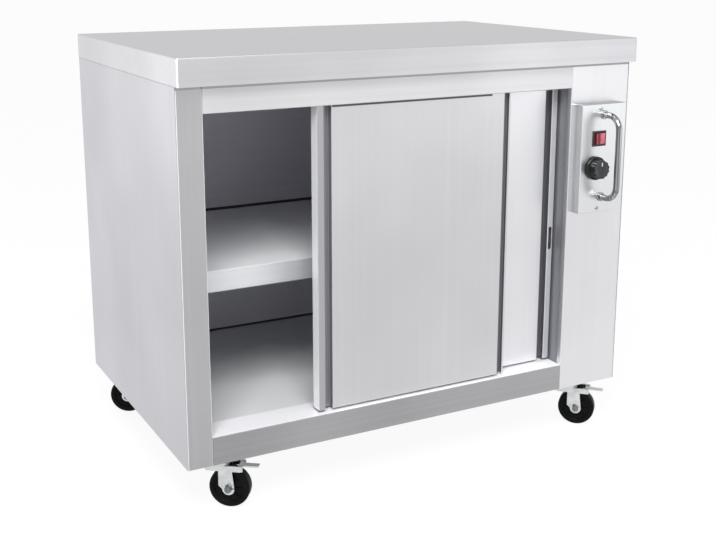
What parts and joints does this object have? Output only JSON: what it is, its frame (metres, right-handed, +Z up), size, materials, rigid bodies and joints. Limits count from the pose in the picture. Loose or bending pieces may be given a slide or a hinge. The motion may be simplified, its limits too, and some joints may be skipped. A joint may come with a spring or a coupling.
{
  "type": "plate warmer cabinet",
  "caption": "Heated stainless plate cabinet on castors with hanging sliding doors, an inner shelf and a control column with knob, rocker switch and guard bar.",
  "frame": {"origin": "on the floor, in the middle of the width and of the whole depth, guard bar included", "axes": "+Z up, +Y towards the back, +X to the right as the user faces the doors"},
  "size_m": [1, 0.7146, 0.865],
  "materials": {
    "stainless_worktop": "satin brushed stainless sheet, grain along the width",
    "stainless_panel": "satin brushed stainless sheet",
    "stainless_door": "satin brushed stainless sheet",
    "stainless_liner": "plain rolled stainless sheet",
    "zinc_plated_steel": "zinc plated steel",
    "bright_zinc": "bright zinc plate on pressed steel",
    "polished_steel": "polished stainless bar",
    "black_rubber": "moulded black rubber",
    "nylon": "natural nylon",
    "black_plastic": "moulded black plastic",
    "red_plastic": "translucent red switch plastic",
    "cream_plastic": "cream thermoset plastic",
    "heater_sheath": "dark oxidised heater sheath",
    "mineral_wool": "mineral wool board"
  },
  "bodies": {
    "cabinet": {"worktop": "stainless_worktop", "worktop_core": "mineral_wool", "left_side_panel": "stainless_panel", "right_side_panel": "stainless_panel", "back_panel": "stainless_panel", "base_pan": "zinc_plated_steel", "left_post": "stainless_panel", "right_jamb": "stainless_panel", "header_rail": "stainless_panel", "bottom_rail": "stainless_panel", "column_front": "stainless_panel", "compartment_ceiling": "stainless_liner", "left_liner": "stainless_liner", "rear_liner": "stainless_liner", "right_liner": "stainless_liner", "deck": "stainless_liner", "shelf": "stainless_liner", "shelf_runners": "stainless_liner", "insulation": "mineral_wool", "track_carrier": "zinc_plated_steel", "door_tracks": "zinc_plated_steel", "bottom_guide": "nylon", "control_box": "stainless_panel", "control_box_fixings": "zinc_plated_steel", "guard_handle": "polished_steel", "switch_housing": "black_plastic", "thermostat": "cream_plastic", "heater_duct": "zinc_plated_steel", "heating_element": "heater_sheath", "fan_frame": "black_plastic", "terminal_block": "cream_plastic", "cable_gland": "black_plastic", "thermostat_probe": "zinc_plated_steel", "castor_plates": "zinc_plated_steel", "castor_bolts": "zinc_plated_steel"},
    "left_door": {"left_door_front_skin": "stainless_door", "left_door_inner_skin": "stainless_door", "left_door_end_caps": "stainless_door", "left_door_hangers": "zinc_plated_steel"},
    "left_roller_a": {"left_door_roller_a": "nylon"},
    "left_roller_b": {"left_door_roller_b": "nylon"},
    "right_door": {"right_door_front_skin": "stainless_door", "right_door_inner_skin": "stainless_door", "right_door_end_caps": "stainless_door", "right_door_hangers": "zinc_plated_steel"},
    "right_roller_a": {"right_door_roller_a": "nylon"},
    "right_roller_b": {"right_door_roller_b": "nylon"},
    "knob": {"thermostat_knob": "black_plastic"},
    "rocker": {"switch_rocker": "red_plastic"},
    "fan": {"fan_impeller": "black_plastic"},
    "front_left_castor": {"front_left_castor_fork": "bright_zinc"},
    "front_left_wheel": {"front_left_castor_wheel": "black_rubber"},
    "front_left_pedal": {"front_left_brake_pedal": "bright_zinc"},
    "front_right_castor": {"front_right_castor_fork": "bright_zinc"},
    "front_right_wheel": {"front_right_castor_wheel": "black_rubber"},
    "front_right_pedal": {"front_right_brake_pedal": "bright_zinc"},
    "rear_left_castor": {"rear_left_castor_fork": "bright_zinc"},
    "rear_left_wheel": {"rear_left_castor_wheel": "black_rubber"},
    "rear_right_castor": {"rear_right_castor_fork": "bright_zinc"},
    "rear_right_wheel": {"rear_right_castor_wheel": "black_rubber"}
  },
  "joints": [
    {"name": "left_door_slide", "type": "slide", "parent": "cabinet", "child": "left_door", "axis": [1, 0, 0], "range_m": [-0.22, 0.1415]},
    {"name": "right_door_slide", "type": "slide", "parent": "cabinet", "child": "right_door", "axis": [1, 0, 0], "range_m": [-0.3615, 0]},
    {"name": "left_roller_a_turn", "type": "hinge", "parent": "left_door", "child": "left_roller_a", "pos_m": [-0.16025, -0.24485, 0.7905], "axis": [0, 1, 0], "continuous": true},
    {"name": "left_roller_b_turn", "type": "hinge", "parent": "left_door", "child": "left_roller_b", "pos_m": [0.13975, -0.24485, 0.7905], "axis": [0, 1, 0], "continuous": true},
    {"name": "right_roller_a_turn", "type": "hinge", "parent": "right_door", "child": "right_roller_a", "pos_m": [-0.01875, -0.21385, 0.7905], "axis": [0, 1, 0], "continuous": true},
    {"name": "right_roller_b_turn", "type": "hinge", "parent": "right_door", "child": "right_roller_b", "pos_m": [0.28125, -0.21385, 0.7905], "axis": [0, 1, 0], "continuous": true},
    {"name": "knob_turn", "type": "hinge", "parent": "cabinet", "child": "knob", "pos_m": [0.394, -0.31275, 0.6005], "axis": [0, 1, 0], "range_deg": [0, 270]},
    {"name": "rocker_tip", "type": "hinge", "parent": "cabinet", "child": "rocker", "pos_m": [0.402, -0.30275, 0.662], "axis": [0, 0, 1], "range_deg": [-16, 0]},
    {"name": "fan_spin", "type": "hinge", "parent": "cabinet", "child": "fan", "pos_m": [0.3982, 0.05725, 0.26], "axis": [1, 0, 0], "continuous": true},
    {"name": "front_left_swivel", "type": "hinge", "parent": "cabinet", "child": "front_left_castor", "pos_m": [-0.418, -0.21475, 0.087], "axis": [0, 0, 1], "continuous": true},
    {"name": "front_left_wheel_roll", "type": "hinge", "parent": "front_left_castor", "child": "front_left_wheel", "pos_m": [-0.39963, -0.22859, 0.04], "axis": [0.6018, 0.7986, 0], "continuous": true},
    {"name": "front_left_brake", "type": "hinge", "parent": "front_left_castor", "child": "front_left_pedal", "pos_m": [-0.38286, -0.24123, 0.0805], "axis": [0.6018, 0.7986, 0], "range_deg": [-20, 0]},
    {"name": "front_right_swivel", "type": "hinge", "parent": "cabinet", "child": "front_right_castor", "pos_m": [0.418, -0.21475, 0.087], "axis": [0, 0, 1], "continuous": true},
    {"name": "front_right_wheel_roll", "type": "hinge", "parent": "front_right_castor", "child": "front_right_wheel", "pos_m": [0.43398, -0.2313, 0.04], "axis": [0.7193, 0.6947, 0], "continuous": true},
    {"name": "front_right_brake", "type": "hinge", "parent": "front_right_castor", "child": "front_right_pedal", "pos_m": [0.44856, -0.2464, 0.0805], "axis": [0.7193, 0.6947, 0], "range_deg": [-20, 0]},
    {"name": "rear_left_swivel", "type": "hinge", "parent": "cabinet", "child": "rear_left_castor", "pos_m": [-0.418, 0.29925, 0.087], "axis": [0, 0, 1], "continuous": true},
    {"name": "rear_left_wheel_roll", "type": "hinge", "parent": "rear_left_castor", "child": "rear_left_wheel", "pos_m": [-0.43792, 0.31075, 0.04], "axis": [-0.5, -0.866, 0], "continuous": true},
    {"name": "rear_right_swivel", "type": "hinge", "parent": "cabinet", "child": "rear_right_castor", "pos_m": [0.418, 0.29925, 0.087], "axis": [0, 0, 1], "continuous": true},
    {"name": "rear_right_wheel_roll", "type": "hinge", "parent": "rear_right_castor", "child": "rear_right_wheel", "pos_m": [0.43884, 0.30897, 0.04], "axis": [-0.4226, 0.9063, 0], "continuous": true}
  ],
  "couplings": [
    {"joint": "left_roller_a_turn", "follows": "left_door_slide", "rad_per_m": 90.909},
    {"joint": "left_roller_b_turn", "follows": "left_door_slide", "rad_per_m": 90.909},
    {"joint": "right_roller_a_turn", "follows": "right_door_slide", "rad_per_m": 90.909},
    {"joint": "right_roller_b_turn", "follows": "right_door_slide", "rad_per_m": 90.909}
  ]
}
